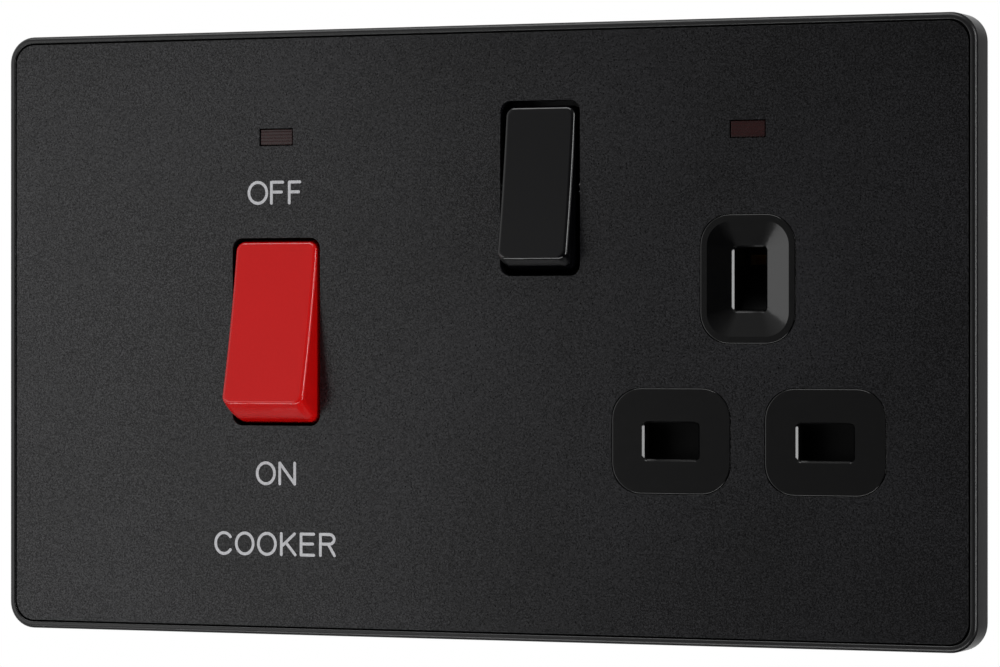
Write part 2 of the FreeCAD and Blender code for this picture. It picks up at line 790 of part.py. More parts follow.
# Rockers: a hollow shell with a dished face, two pivot pins and a sleeve for each plunger
def make_rocker(s, sleeves):
    rocker = new_body(f"{s.name}_rocker")
    skirt_z = root(s.flank * s.flank - s.skirt * s.skirt)
    chord = 2 * s.face_half
    face_radius = chord * chord / (8 * s.face_hollow) + s.face_hollow / 2
    add(
        rocker, "X", -s.rocker_width / 2, s.rocker_width / 2,
        outline(
            (-s.face_rise, s.face_half, s.flank, -1),
            (s.skirt, skirt_z),
            (s.skirt, -skirt_z, s.flank, -1),
            (-s.face_rise, -s.face_half, face_radius, 1),
        ),
    )
    face_limit = s.face_hollow.value - s.face_rise.value + 1e-3
    dress(
        "PartDesign::Fillet", rocker, size.rocker_corner,
        lambda box: box.XLength < 1e-3 and face_limit < box.YMax and box.YMin < face_limit,
    )
    dress("PartDesign::Fillet", rocker, size.rocker_edge_round, lambda box: box.YMax < face_limit)
    inner_face = size.rocker_wall + s.face_hollow - s.face_rise
    inner_half = s.rocker_width / 2 - size.rocker_wall
    cut(
        rocker, "X", -inner_half, inner_half,
        outline(
            (inner_face, s.face_half - size.rocker_wall),
            (s.skirt, skirt_z - size.rocker_wall),
            (s.skirt, size.rocker_wall - skirt_z),
            (inner_face, size.rocker_wall - s.face_half),
        ),
    )
    bore = size.plunger_radius + size.running_gap
    add(
        rocker, "Y", inner_face - size.rocker_wall / 2, size.sleeve_reach,
        *(circle(x, as_size(0), bore + size.plunger_sleeve) for x in sleeves),
    )
    cut(
        rocker, "Y", -size.spring_seat, size.sleeve_reach,
        *(circle(x, as_size(0), bore) for x in sleeves),
    )
    pin_end = s.inner_width / 2 + size.pin_length - size.slip_gap
    add(rocker, "X", inner_half, pin_end, circle(as_size(0), as_size(0), s.pin / 2))
    add(rocker, "X", -pin_end, -inner_half, circle(as_size(0), as_size(0), s.pin / 2))
    place(rocker, s.x, s.pivot_y, s.z, -s.tilt)


make_rocker(cooker, list(POLES.values()))
make_rocker(socket, [as_size(0)])


# Plungers and their springs: each slides in its rocker's sleeve and presses the contact arm
def coil(label, mean_radius, length, turns):
    """A compression spring along +Z, with the middle of its square wire starting at its origin."""
    rise = length.value - size.spring_wire.value
    half = size.spring_wire.value / 2
    inner, outer = mean_radius.value - half, mean_radius.value + half
    section = [Vector(r, 0, z) for r, z in ((inner, -half), (outer, -half), (outer, half), (inner, half))]
    helix = Part.makeHelix(rise / turns.value, rise, mean_radius.value)
    piece = doc.addObject("Part::Feature", label)
    piece.Label = label
    piece.Shape = Part.Wire(helix).makePipeShell([Part.makePolygon(section + section[:1])], True, True)
    pieces.append(piece)
    return piece


def make_plunger(s, label, spring_label, shift):
    plunger = new_body(label)
    shoulder = s.plunger_reach - size.plunger_length
    radius = size.plunger_radius
    spigot = radius - size.spring_wire - 2 * size.slip_gap
    turn_about_y(
        plunger,
        outline(
            (as_size(0), shoulder - size.spigot_length),
            (spigot, shoulder - size.spigot_length),
            (spigot, shoulder),
            (radius, shoulder),
            (radius, s.plunger_reach, radius, 1),
            (as_size(0), s.plunger_reach + radius),
        ),
    )
    place(plunger, s.x + shift, s.pivot_y, s.z, -s.tilt)
    mean_radius = radius - size.spring_wire / 2 - size.running_gap
    length = shoulder + size.spring_seat - 2 * size.slip_gap
    spring = coil(spring_label, mean_radius, length, size.spring_turns)
    tilted = FreeCAD.Rotation(Vector(1, 0, 0), -s.tilt.value)
    along = FreeCAD.Rotation(Vector(0, 0, 1), Vector(0, 1, 0))
    pivot = Vector((s.x + shift).value, s.pivot_y.value, s.z.value)
    first_coil = size.slip_gap + size.spring_wire / 2 - size.spring_seat
    seat = tilted.multVec(Vector(0, first_coil.value, 0))
    spring.Placement = FreeCAD.Placement(pivot + seat, tilted.multiply(along))


for pole, shift in POLES.items():
    make_plunger(cooker, f"cooker_plunger_{pole}", f"cooker_spring_{pole}", shift)
make_plunger(socket, "socket_plunger", "socket_spring", as_size(0))


# Moving contacts: a sprung arm bent to a shallow dimple that rocks on a post
def make_moving_contact(s, label, shift):
    arm = new_body(label)
    back = -s.dimple_depth
    front = back - size.arm_thickness
    half = size.dimple_half
    add(
        arm, "X", -size.arm_width / 2, size.arm_width / 2,
        outline(
            (as_size(0), as_size(0)), (back, half), (back, s.arm), (front, s.arm), (front, half),
            (-size.arm_thickness, as_size(0)),
            (front, -half), (front, -s.arm), (back, -s.arm), (back, -half),
        ),
    )
    add(arm, "Y", back, back + size.rivet_height, circle(as_size(0), s.rivet_z, size.rivet_radius))
    place(arm, s.x + shift, s.arm_pivot_y, s.z, s.arm_tilt)


for pole, shift in POLES.items():
    make_moving_contact(cooker, f"cooker_moving_contact_{pole}", shift)
make_moving_contact(socket, "socket_moving_contact", as_size(0))


# Terminals: a bored brass block with a strip to the arm's post or to the fixed contact
def bore_block(terminal, x, z, bores):
    half = size.block_height / 2
    cut(
        terminal, "Z", z - half, z + half,
        *(circle(bore, size.cable_bore_depth, size.cable_bore / 2) for bore in bores),
    )
    cut(
        terminal, "Y", size.cable_bore_depth, block_back,
        *(circle(bore, z, size.terminal_screw / 2 + size.running_gap) for bore in bores),
    )


for pole, shift in POLES.items():
    pole_x = cooker.x + shift
    block_x = cooker.x + BLOCKS[pole]
    post_top = cooker.arm_pivot_y + size.running_gap
    strip_left, strip_right = pole_x - size.arm_width / 2, pole_x + size.arm_width / 2

    supply = new_body(f"cooker_supply_terminal_{pole}")
    add(
        supply, "Y", size.block_front, block_back,
        rectangle(block_x, -block_z, size.block_width, size.block_height),
    )
    add(
        supply, "Y", size.strip_front, strip_back,
        span(strip_left, strip_right, -block_z, cooker.z + size.foot_half),
    )
    add(
        supply, "Y", post_top, size.strip_front,
        rectangle(pole_x, cooker.z, size.arm_width, 2 * size.post_half),
    )
    bore_block(supply, block_x, -block_z, [block_x])

    load = new_body(f"cooker_load_terminal_{pole}")
    rivet_z = cooker.z + cooker.rivet_z
    add(
        load, "Y", size.block_front, block_back,
        rectangle(block_x, block_z, size.block_width, size.block_height),
    )
    add(
        load, "Y", size.strip_front, strip_back,
        span(strip_left, strip_right, rivet_z - size.foot_half, block_z),
    )
    add(
        load, "Y", cooker.fixed_contact_y, size.strip_front,
        circle(pole_x, rivet_z, size.rivet_radius),
    )
    bore_block(load, block_x, block_z, [block_x])

earth_terminal = new_body("earth_terminal")
add(
    earth_terminal, "Y", size.block_front, block_back,
    rectangle(outlet_x, block_z, size.earth_block_width, size.block_height),
)
add(
    earth_terminal, "Y", size.earth_contact_back, size.earth_contact_back + size.bar_thickness,
    span(outlet_x - size.bar_width / 2, outlet_x + size.bar_width / 2,
         earth_z - size.earth_contact_width / 2, block_z),
)
bore_block(earth_terminal, outlet_x, block_z,
           [outlet_x - size.earth_block_width / 4, outlet_x + size.earth_block_width / 4])

# Line busbar: from the cooker's supply side to the post of the socket's contact arm
bar_z = size.bar_offset - block_z
line_busbar = new_body("line_busbar")
add(
    line_busbar, "Y", size.strip_front, strip_bar_back,
    outline(
        (cooker.x + BLOCKS["line"] + size.block_width / 2, bar_z - size.bar_width / 2),
        (socket.x + size.bar_width / 2, bar_z - size.bar_width / 2),
        (socket.x + size.bar_width / 2, socket.z + size.foot_half),
        (socket.x - size.bar_width / 2, socket.z + size.foot_half),
        (socket.x - size.bar_width / 2, bar_z + size.bar_width / 2),
        (cooker.x + BLOCKS["line"] + size.block_width / 2, bar_z + size.bar_width / 2),
    ),
)
add(
    line_busbar, "Y", socket.arm_pivot_y + size.running_gap, size.strip_front,
    rectangle(socket.x, socket.z, size.arm_width, 2 * size.post_half),
)

# Neutral busbar: straight across behind the other strips, with a raised foot at each end
neutral_busbar = new_body("neutral_busbar")
neutral_left = cooker.x + POLES["neutral"] - size.arm_width / 2
neutral_right = neutral_x + size.contact_width / 2
bar_low, bar_high = pin_z - size.bar_width / 2, pin_z + size.bar_width / 2
add(neutral_busbar, "Y", bar_front, bar_back, span(neutral_left, neutral_right, bar_low, bar_high))
add(
    neutral_busbar, "Y", strip_back, bar_front,
    span(neutral_left, neutral_left + size.arm_width, bar_low, bar_high),
)
add(
    neutral_busbar, "Y", size.strip_front, bar_front,
    span(neutral_right - size.contact_width, neutral_right, bar_low, bar_high),
)

# Socket load strip: from the fixed contact down to the line contact
socket_load_strip = new_body("socket_load_strip")
load_rivet_z = socket.z + socket.rivet_z
load_left = load_strip_x - size.load_strip_width / 2
load_right = load_strip_x + size.load_strip_width / 2
load_low = pin_z - size.load_strip_width / 2
load_high = load_rivet_z + size.load_strip_width / 2
add(
    socket_load_strip, "Y", size.strip_front, strip_bar_back,
    outline(
        (socket.x - size.arm_width / 2, load_high - size.load_strip_width),
        (load_left, load_high - size.load_strip_width),
        (load_left, load_low),
        (line_x + size.contact_width / 2, load_low),
        (line_x + size.contact_width / 2, load_low + size.load_strip_width),
        (load_right, load_low + size.load_strip_width),
        (load_right, load_high),
        (socket.x - size.arm_width / 2, load_high),
    ),
)
add(
    socket_load_strip, "Y", socket.fixed_contact_y, size.strip_front,
    circle(socket.x, load_rivet_z, size.rivet_radius),
)


# Socket contacts: a folded clip that grips the pin between two sprung leaves
def clip_half(mouth, back):
    """Half of the clip's outline, from its base to its mouth and back, as (depth, offset)."""
    sheet_thickness = size.contact_sheet
    neck = mouth + size.contact_neck
    flare = size.contact_pinch + size.contact_flare
    return [
        (back, size.contact_base),
        (neck, size.contact_pinch + sheet_thickness),
        (mouth, flare + sheet_thickness),
        (mouth, flare),
        (neck, size.contact_pinch),
        (back - sheet_thickness, size.contact_base - sheet_thickness),
    ]


for label, x in (("line_contact", line_x), ("neutral_contact", neutral_x)):
    half = clip_half(size.contact_mouth, size.strip_front)
    upper = [(depth, pin_z + offset) for depth, offset in half]
    lower = [(depth, pin_z - offset) for depth, offset in reversed(half)]
    contact = new_body(label)
    add(contact, "X", x - size.contact_width / 2, x + size.contact_width / 2, outline(*upper, *lower))

earth_half = clip_half(size.earth_contact_mouth, size.earth_contact_back)
right_side = [(outlet_x + offset, depth) for depth, offset in earth_half]
left_side = [(outlet_x - offset, depth) for depth, offset in reversed(earth_half)]
earth_contact = new_body("earth_contact")
add(
    earth_contact, "Z", earth_z - size.earth_contact_width / 2,
    earth_z + size.earth_contact_width / 2, outline(*right_side, *left_side),
)

# Shutter: two blades on a stem, with a ramp that the earth pin pushes down
shutter = new_body("shutter")
add(
    shutter, "Y", shutter_front, shutter_back,
    outline(
        (outlet_x - blade_half, blade_bottom), (outlet_x + blade_half, blade_bottom),
        (outlet_x + blade_half, blade_top), (outlet_x + stem_half, blade_top),
        (outlet_x + stem_half, ramp_foot), (outlet_x - stem_half, ramp_foot),
        (outlet_x - stem_half, blade_top), (outlet_x - blade_half, blade_top),
    ),
)
add(
    shutter, "X", outlet_x - size.ramp_width / 2, outlet_x + size.ramp_width / 2,
    outline(
        (shutter_front, ramp_foot - size.ramp_width / 2), (ramp_back, ramp_foot - size.ramp_width / 2),
        (ramp_back, ramp_foot + size.shutter_travel), (shutter_front, ramp_foot),
    ),
)
seat_back = shutter_back + 2 * (size.shutter_spring_radius + size.moving_gap)
add(
    shutter, "Y", shutter_back, seat_back,
    rectangle(outlet_x, blade_bottom + size.shutter_seat / 2, 2 * size.shutter_seat,
              size.shutter_seat),
)
spring_length = blade_bottom + top_inside - 2 * size.slip_gap
shutter_spring = coil(
    "shutter_spring", size.shutter_spring_radius - size.spring_wire / 2, spring_length,
    size.shutter_spring_turns,
)
shutter_spring.Placement.Base = Vector(
    outlet_x.value, ((shutter_back + seat_back) / 2).value,
    (size.slip_gap + size.spring_wire / 2 - top_inside).value,
)

# Neon windows, lamps and resistors
for name, (x, z) in NEONS.items():
    lens = new_body(f"{name}_neon_lens")
    add(
        lens, "Y", plate_front + size.lens_recess, size.moving_gap,
        rectangle(x, z, size.neon_width, size.neon_height),
    )
    add(
        lens, "Y", sheet_back + size.running_gap, flange_front - size.running_gap,
        rectangle(x, z, size.neon_width + 2 * size.lens_step, size.neon_height + 2 * size.lens_step),
    )
    lamp = new_body(f"{name}_neon_lamp")
    lamp_half = size.lamp_length / 2
    lead_end = lamp_half + size.lead_length
    add(lamp, "X", x - lamp_half, x + lamp_half, circle(size.lamp_depth, z, size.lamp_radius))
    add(lamp, "X", x - lead_end, x + lead_end, circle(size.lamp_depth, z, size.lead_radius))
    resistor = new_body(f"{name}_resistor")
    resistor_x = x + LAMP_SIDES[name] * resistor_offset
    resistor_half = size.resistor_length / 2
    lead_end = resistor_half + size.lead_length
    add(
        resistor, "X", resistor_x - resistor_half, resistor_x + resistor_half,
        circle(size.lamp_depth, z, size.resistor_radius),
    )
    add(
        resistor, "X", resistor_x - lead_end, resistor_x + lead_end,
        circle(size.lamp_depth, z, size.lead_radius),
    )

# Screws: slotted terminal screws, and the slotted screws that hold the rear cover
terminal_screws = new_body("terminal_screws")
screw_back = block_back + size.terminal_screw_stand
add(
    terminal_screws, "Y", screw_back - size.terminal_screw_length, screw_back,
    *(circle(x, z, size.terminal_screw / 2) for x, z in TERMINALS),
)
cut(
    terminal_screws, "Y", screw_back - size.screw_slot, screw_back,
    *(rectangle(x, z, size.terminal_screw + size.screw_slot, size.screw_slot) for x, z in TERMINALS),
)
housing_screws = new_body("housing_screws")
screw_head_back = size.body_depth - size.running_gap
add(
    housing_screws, "Y", head_seat + size.running_gap, screw_head_back,
    *(circle(x, z, size.cover_screw_head / 2) for x, z in BOSSES),
)
add(
    housing_screws, "Y", head_seat - size.cover_screw_length, head_seat + size.screw_slot,
    *(circle(x, z, size.cover_screw / 2 - size.running_gap) for x, z in BOSSES),
)
cut(
    housing_screws, "Y", screw_head_back - size.screw_slot, screw_head_back,
    *(rectangle(x, z, size.cover_screw_head + size.screw_slot, size.screw_slot) for x, z in BOSSES),
)

doc.recompute()

# Checks before anything is written
for item in doc.Objects:
    if "Invalid" in item.State or "Error" in item.State:
        raise RuntimeError(f"{item.Label} failed: {item.State}")
for piece in pieces:
    if piece.Shape.isNull() or not piece.Shape.isValid():
        raise RuntimeError(f"{piece.Label} has no valid shape")

for piece in pieces:
    piece.Shape.exportStep(f"parts/{piece.Label}.step")
    print(f"{piece.Label}: {len(piece.Shape.Solids)} solids, {piece.Shape.Volume:.1f} mm3")
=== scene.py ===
import json
import math

import bmesh
import bpy
import numpy as np
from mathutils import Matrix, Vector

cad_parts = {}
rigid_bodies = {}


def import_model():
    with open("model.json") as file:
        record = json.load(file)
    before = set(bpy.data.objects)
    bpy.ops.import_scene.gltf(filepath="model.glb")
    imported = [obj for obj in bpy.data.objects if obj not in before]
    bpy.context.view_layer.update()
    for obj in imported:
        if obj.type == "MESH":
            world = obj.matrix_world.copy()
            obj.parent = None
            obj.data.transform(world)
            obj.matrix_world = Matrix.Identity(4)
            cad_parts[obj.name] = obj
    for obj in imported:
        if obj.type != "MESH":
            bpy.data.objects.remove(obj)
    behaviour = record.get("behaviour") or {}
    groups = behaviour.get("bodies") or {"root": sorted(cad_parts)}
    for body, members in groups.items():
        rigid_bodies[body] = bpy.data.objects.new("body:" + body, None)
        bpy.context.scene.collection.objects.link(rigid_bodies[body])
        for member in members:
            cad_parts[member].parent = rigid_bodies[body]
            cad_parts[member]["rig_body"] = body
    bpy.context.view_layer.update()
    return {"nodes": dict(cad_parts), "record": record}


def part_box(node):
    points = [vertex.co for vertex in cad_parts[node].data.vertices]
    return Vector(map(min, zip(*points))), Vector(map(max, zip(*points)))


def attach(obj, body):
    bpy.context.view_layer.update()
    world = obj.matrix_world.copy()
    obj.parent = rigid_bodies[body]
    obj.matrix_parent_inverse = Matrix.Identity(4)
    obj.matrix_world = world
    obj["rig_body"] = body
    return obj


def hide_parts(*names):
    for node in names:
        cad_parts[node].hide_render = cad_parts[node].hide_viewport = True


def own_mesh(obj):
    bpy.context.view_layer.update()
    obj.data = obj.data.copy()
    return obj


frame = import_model()
nodes = frame["nodes"]


# Camera: level with the unit's middle and 22 degrees round to its right, about 0.63 m away. The long
# lens is the one that puts the plate's corners where the photograph has them.
VIEW_TURN = math.radians(22.06)
VIEW_PLACE = (0.23855, -0.58373, 0.0)
LENS = 161.1

camera = bpy.data.objects.new("camera", bpy.data.cameras.new("camera"))
camera.data.lens = LENS
camera.data.sensor_width = 36
camera.data.shift_y = -0.001
camera.data.clip_start = 0.01
camera.data.clip_end = 50
camera.location = VIEW_PLACE
camera.rotation_euler = (math.pi / 2, 0, VIEW_TURN)
bpy.context.scene.collection.objects.link(camera)
bpy.context.scene.camera = camera
bpy.context.scene.view_settings.view_transform = "Standard"


# Clip-on frame: a black moulding with a fine satin texture, its mould edges softened. Its narrow rim
# stands round the front sheet with a hairline groove between them, and it snaps over the flange behind.
class Wire:
    """The output of a shader node. Arithmetic on wires adds the Math nodes that work it out."""

    def __init__(self, finish, socket):
        self.finish = finish
        self.socket = socket

    def __add__(self, other):
        return self.finish.sum("ADD", self, other)

    __radd__ = __add__

    def __sub__(self, other):
        return self.finish.sum("SUBTRACT", self, other)

    def __rsub__(self, other):
        return self.finish.sum("SUBTRACT", other, self)

    def __mul__(self, other):
        return self.finish.sum("MULTIPLY", self, other)

    __rmul__ = __mul__

    def __pow__(self, other):
        return self.finish.sum("POWER", self, other)

    def step(self, low, high):
        """0 below low and 1 above high, with a straight climb between."""
        return self.finish.sum("MULTIPLY", self - low, 1 / (high - low), clamp=True)


class Finish:
    """One finish, worked out by the nodes of a material or of the world.

    What is the same all over is set on the shader itself. What varies is worked out from the piece's own
    coordinates and fed in."""

    def __init__(self, owner, coordinates="Object", **constants):
        owner.use_nodes = True
        self.owner = owner
        self.tree = owner.node_tree
        self.shader = next(node for node in self.tree.nodes if not node.type.startswith("OUTPUT"))
        for label, value in constants.items():
            self.shader.inputs[label.replace("_", " ")].default_value = value
        self.place = self.node("ShaderNodeTexCoord", output=coordinates)

    def node(self, kind, settings=None, sockets=None, output=0):
        """Adds a node, sets it up, fills its sockets with values or wires, and gives one output."""
        node = self.tree.nodes.new(kind)
        for label, value in (settings or {}).items():
            setattr(node, label, value)
        for label, value in (sockets or {}).items():
            if isinstance(value, Wire):
                self.tree.links.new(value.socket, node.inputs[label])
            else:
                node.inputs[label].default_value = value
        return Wire(self, node.outputs[output])

    def sum(self, operation, *terms, clamp=False):
        settings = {"operation": operation, "use_clamp": clamp}
        return self.node("ShaderNodeMath", settings, dict(enumerate(terms)))

    def feed(self, **wires):
        for label, wire in wires.items():
            self.tree.links.new(wire.socket, self.shader.inputs[label.replace("_", " ")])

    def noise(self, scale, detail=2.0, roughness=0.5, place=None):
        """Even noise from 0 to 1. The scale is in waves per metre."""
        sockets = {"Vector": place or self.place, "Scale": scale, "Detail": detail, "Roughness": roughness}
        return self.node("ShaderNodeTexNoise", None, sockets)

    def along(self, axis):
        """The place along one axis, in metres."""
        return self.node("ShaderNodeSeparateXYZ", None, {"Vector": self.place}, output=axis)

    def blend(self, mask, low, high):
        """The low colour where the mask is 0, and the high colour where it is 1."""
        low, high = (end if isinstance(end, Wire) else (*end, 1) for end in (low, high))
        return self.node("ShaderNodeMix", {"data_type": "RGBA"}, {0: mask, 6: low, 7: high}, output=2)

    def bump(self, height, depth):
        """A bump of the given depth in metres."""
        return self.node("ShaderNodeBump", None, {"Height": height, "Distance": depth})


SLOTS = {part["node"]: part["material_slot"] for part in frame["record"]["subparts"]}
SAME_POINT = 2e-7
SAME_PLANE = math.radians(0.05)
SHARP = 28.0


def dress(name, finish, edge=None, crease=SHARP, angle=SHARP):
    """A copy of a CAD node with its loose triangles joined and its edges broken by a small round.

    Flat faces are joined across their triangles, edges sharper than the angle get a round of the given
    width, those between the crease and the angle stay crisp, and the rest is shaded smooth. With no
    width, the mesh is left unrounded. Angles are in degrees. The copy stands for the node."""
    source = nodes[name]
    mesh = bpy.data.meshes.new(f"{name}_dressed")
    build = bmesh.new()
    build.from_mesh(source.data)
    bmesh.ops.remove_doubles(build, verts=build.verts, dist=SAME_POINT)
    bmesh.ops.dissolve_limit(
        build, angle_limit=SAME_PLANE, verts=build.verts, edges=build.edges, delimit={"NORMAL"}
    )
    for line in build.edges:
        line.smooth = not math.radians(crease) < line.calc_face_angle(0.0) < math.radians(angle)
    for face in build.faces:
        face.smooth = True
    build.to_mesh(mesh)
    build.free()
    mesh.materials.append(finish.owner)
    piece = bpy.data.objects.new(f"{name}_dressed", mesh)
    bpy.context.scene.collection.objects.link(piece)
    if edge:
        bevel = piece.modifiers.new("edge", "BEVEL")
        bevel.width = edge
        bevel.segments = 2
        bevel.limit_method = "ANGLE"
        bevel.angle_limit = math.radians(angle)
        bevel.use_clamp_overlap = True
        weigh = piece.modifiers.new("flat_faces", "WEIGHTED_NORMAL")
        weigh.mode = "FACE_AREA_WITH_ANGLE"
        weigh.keep_sharp = True
    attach(piece, source["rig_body"])
    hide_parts(name)
    return piece


satin = Finish(bpy.data.materials.new("frame_satin_black"))
grain = satin.noise(4200, 3.0)
drift = satin.noise(26, 1.0)
satin.feed(
    Base_Color=satin.blend(0.6 * grain + 0.4 * drift, (0.0025, 0.0025, 0.0028), (0.006, 0.006, 0.0064)),
    Roughness=0.26 + 0.12 * grain,
    Normal=satin.bump(grain, 8e-6),
)
dress("clip_on_frame", satin, 0.00022)


# Front sheet: a flat sheet, spark textured to a fine matt grain that breaks its sheen into specks. It
# lies in the frame's recess, and its apertures have a broken edge.
matt = Finish(bpy.data.materials.new("sheet_matt_black"), Specular_IOR_Level=0.2, Coat_Roughness=0.27)
grain = matt.noise(4400, 1.0)
speck = matt.noise(7600, 1.0)
drift = matt.noise(34, 2.0)
relief = 0.5 * grain + 0.5 * speck
matt.feed(
    Base_Color=matt.blend(
        (0.8 * relief + 0.2 * drift).step(0.44, 0.62), (0.0016, 0.0016, 0.0019), (0.0096, 0.0096, 0.0113)
    ),
    Roughness=0.24 + 0.12 * grain,
    Coat_Weight=relief.step(0.42, 0.71),
    Normal=matt.bump(relief, 1.2e-5),
)
dress("front_plate", matt, 0.00008)


# Words: OFF and ON above and below the cooker's rocker, and what the switch is for, pad printed on the
# sheet in pale grey. Every letter is drawn with one round-ended stroke width.
STROKE = 0.00042
INK_STAND = 0.00001
LAYER_LIFT = 1e-6
END_STEPS = 5
LETTER_HEIGHT = 0.0034
TURNS = np.linspace(0, 2 * math.pi, 49)
OPEN_TURNS = np.linspace(math.radians(38), math.radians(322), 41)
BOWL_TURNS = np.linspace(math.pi / 2, -math.pi / 2, 17)
BOWL_HALF = 0.23
LETTERS = {
    "O": [np.column_stack([0.5 + 0.5 * np.cos(TURNS), 0.5 + 0.5 * np.sin(TURNS)])],
    "C": [np.column_stack([0.56 + 0.56 * np.cos(OPEN_TURNS), 0.5 + 0.5 * np.sin(OPEN_TURNS)])],
    "F": [[(0, 0), (0, 1)], [(0, 1), (1, 1)], [(0, 0.53), (0.88, 0.53)]],
    "E": [[(0, 0), (0, 1)], [(0, 1), (1, 1)], [(0, 0.53), (0.92, 0.53)], [(0, 0), (1, 0)]],
    "N": [[(0, 0), (0, 1)], [(0, 1), (1, 0)], [(1, 0), (1, 1)]],
    "K": [[(0, 0), (0, 1)], [(0.95, 1), (0, 0.38)], [(0.32, 0.59), (1, 0)]],
    "R": [
        [(0, 0), (0, 1)],
        np.vstack([
            [(0, 1)],
            np.column_stack([0.62 + 0.36 * np.cos(BOWL_TURNS), 1 + BOWL_HALF * (np.sin(BOWL_TURNS) - 1)]),
            [(0, 1 - 2 * BOWL_HALF)],
        ]),
        [(0.55, 1 - 2 * BOWL_HALF), (1, 0)],
    ],
}
WORDS = {
    "OFF": (0.01990, (-0.03462, -0.03140), (-0.03110, -0.02890), (-0.02830, -0.02622)),
    "ON": (-0.02005, (-0.03333, -0.03019), (-0.02979, -0.02703)),
    "COOKER": (-0.03010, (-0.03988, -0.03713), (-0.03662, -0.03355), (-0.03314, -0.03004),
               (-0.02954, -0.02695), (-0.02645, -0.02406), (-0.02344, -0.02083)),
}


def stroke(path, lift):
    """A flat round-ended ribbon along a path in the sheet's plane.

    Each point of the path goes out by half the stroke's width to either side, at right angles to the
    path. Past each end the width follows a quarter circle down to nothing."""
    path = np.asarray(path, float)
    heading = np.gradient(path, axis=0)
    heading /= np.linalg.norm(heading, axis=1)[:, None]
    half = np.full(len(path), STROKE / 2)
    if not np.allclose(path[0], path[-1]):
        turn = np.linspace(0, math.pi / 2, END_STEPS + 1)[1:]
        before = path[0] - heading[0] * (STROKE / 2) * np.sin(turn)[::-1, None]
        after = path[-1] + heading[-1] * (STROKE / 2) * np.sin(turn)[:, None]
        taper = STROKE / 2 * np.cos(turn)
        path = np.vstack([before, path, after])
        ends = np.repeat(heading[:1], END_STEPS, 0), np.repeat(heading[-1:], END_STEPS, 0)
        heading = np.vstack([ends[0], heading, ends[1]])
        half = np.concatenate([taper[::-1], half, taper])
    side = np.column_stack([-heading[:, 1], heading[:, 0]]) * half[:, None]
    edges = np.stack([path + side, path - side], axis=1).reshape(-1, 2)
    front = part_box("front_plate")[0].y - INK_STAND - lift
    points = np.column_stack([edges[:, 0], np.full(len(edges), front), edges[:, 1]])
    start = 2 * np.arange(len(path) - 1)[:, None]
    return points, start + np.array([0, 1, 3, 2])


ink = Finish(bpy.data.materials.new("printed_pale_grey"))
cover = ink.noise(5200, 2.0)
ink.feed(
    Base_Color=ink.blend(cover, (0.28, 0.28, 0.29), (0.48, 0.48, 0.50)),
    Roughness=0.5 + 0.15 * cover,
)
for word, (middle, *spans) in WORDS.items():
    points, faces, count, layer = [], [], 0, 0
    for letter, (left, right) in zip(word, spans):
        width = right - left - STROKE
        height = LETTER_HEIGHT - STROKE
        for path in LETTERS[letter]:
            placed = np.asarray(path) * (width, height) + (left + STROKE / 2, middle - height / 2)
            new_points, new_faces = stroke(placed, layer * LAYER_LIFT)
            points.append(new_points)
            faces.append(new_faces + count)
            count += len(new_points)
            layer += 1
    mesh = bpy.data.meshes.new(f"word_{word.lower()}")
    mesh.from_pydata(np.vstack(points).tolist(), [], np.vstack(faces).tolist())
    mesh.materials.append(ink.owner)
    printed = bpy.data.objects.new(f"word_{word.lower()}", mesh)
    bpy.context.scene.collection.objects.link(printed)
    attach(printed, "housing")


# Front moulding: gloss black, with the three pin islands that stand through the sheet, the two rocker
# wells and the flange behind. The gloss has the faint long waves of a moulded face.
gloss = Finish(bpy.data.materials.new("moulding_gloss_black"))
wave = gloss.noise(110, 1.0)
haze = gloss.noise(900, 3.0)
gloss.feed(
    Base_Color=gloss.blend(haze, (0.0008, 0.0008, 0.0009), (0.0018, 0.0018, 0.0019)),
    Roughness=0.11 + 0.06 * haze,
    Normal=gloss.bump(wave, 4e-6),
)
dress("front_moulding", gloss, 0.00012, crease=13.0)


# Cooker rocker: moulded in red with a hollowed face and softened edges, polished on every side. Its
# pins swing in blind bearings in the well's walls.
red = Finish(bpy.data.materials.new("rocker_polished_red"), Subsurface_Weight=0.05,
             Subsurface_Radius=(0.001, 1e-4, 1e-4))
grain = red.noise(2600, 3.0)
flow = red.noise(70, 2.0)
red.feed(
    Base_Color=red.blend(0.5 * grain + 0.5 * flow, (0.375, 0.0022, 0.0020), (0.46, 0.0040, 0.0038)),
    Roughness=0.09 + 0.06 * grain,
    Normal=red.bump(grain, 2e-6),
)
dress("cooker_rocker", red, 0.00006)


# Socket rocker: the same form as the cooker's, smaller and moulded in black. It swings on its own pins
# in the narrower well.
black = Finish(bpy.data.materials.new("rocker_polished_black"))
grain = black.noise(2600, 3.0)
flow = black.noise(70, 2.0)
black.feed(
    Base_Color=black.blend(0.5 * grain + 0.5 * flow, (0.0007, 0.0007, 0.0010), (0.0017, 0.0017, 0.0021)),
    Roughness=0.09 + 0.06 * grain,
    Normal=black.bump(grain, 2e-6),
)
dress("socket_rocker", black, 0.00006)


# Shutter: a dark slide behind the pin holes, moulded with a dull face so that it doesn't catch the light.
# The earth pin pushes it down, clear of the line and neutral holes.
dull = Finish(bpy.data.materials.new("shutter_dull_black"), Specular_IOR_Level=0.15)
grain = dull.noise(3000, 3.0)
dull.feed(
    Base_Color=dull.blend(grain, (0.0006, 0.0006, 0.0007), (0.0014, 0.0014, 0.0015)),
    Roughness=0.5 + 0.2 * grain,
    Normal=dull.bump(grain, 8e-6),
)
dress("shutter", dull, 0.0001)


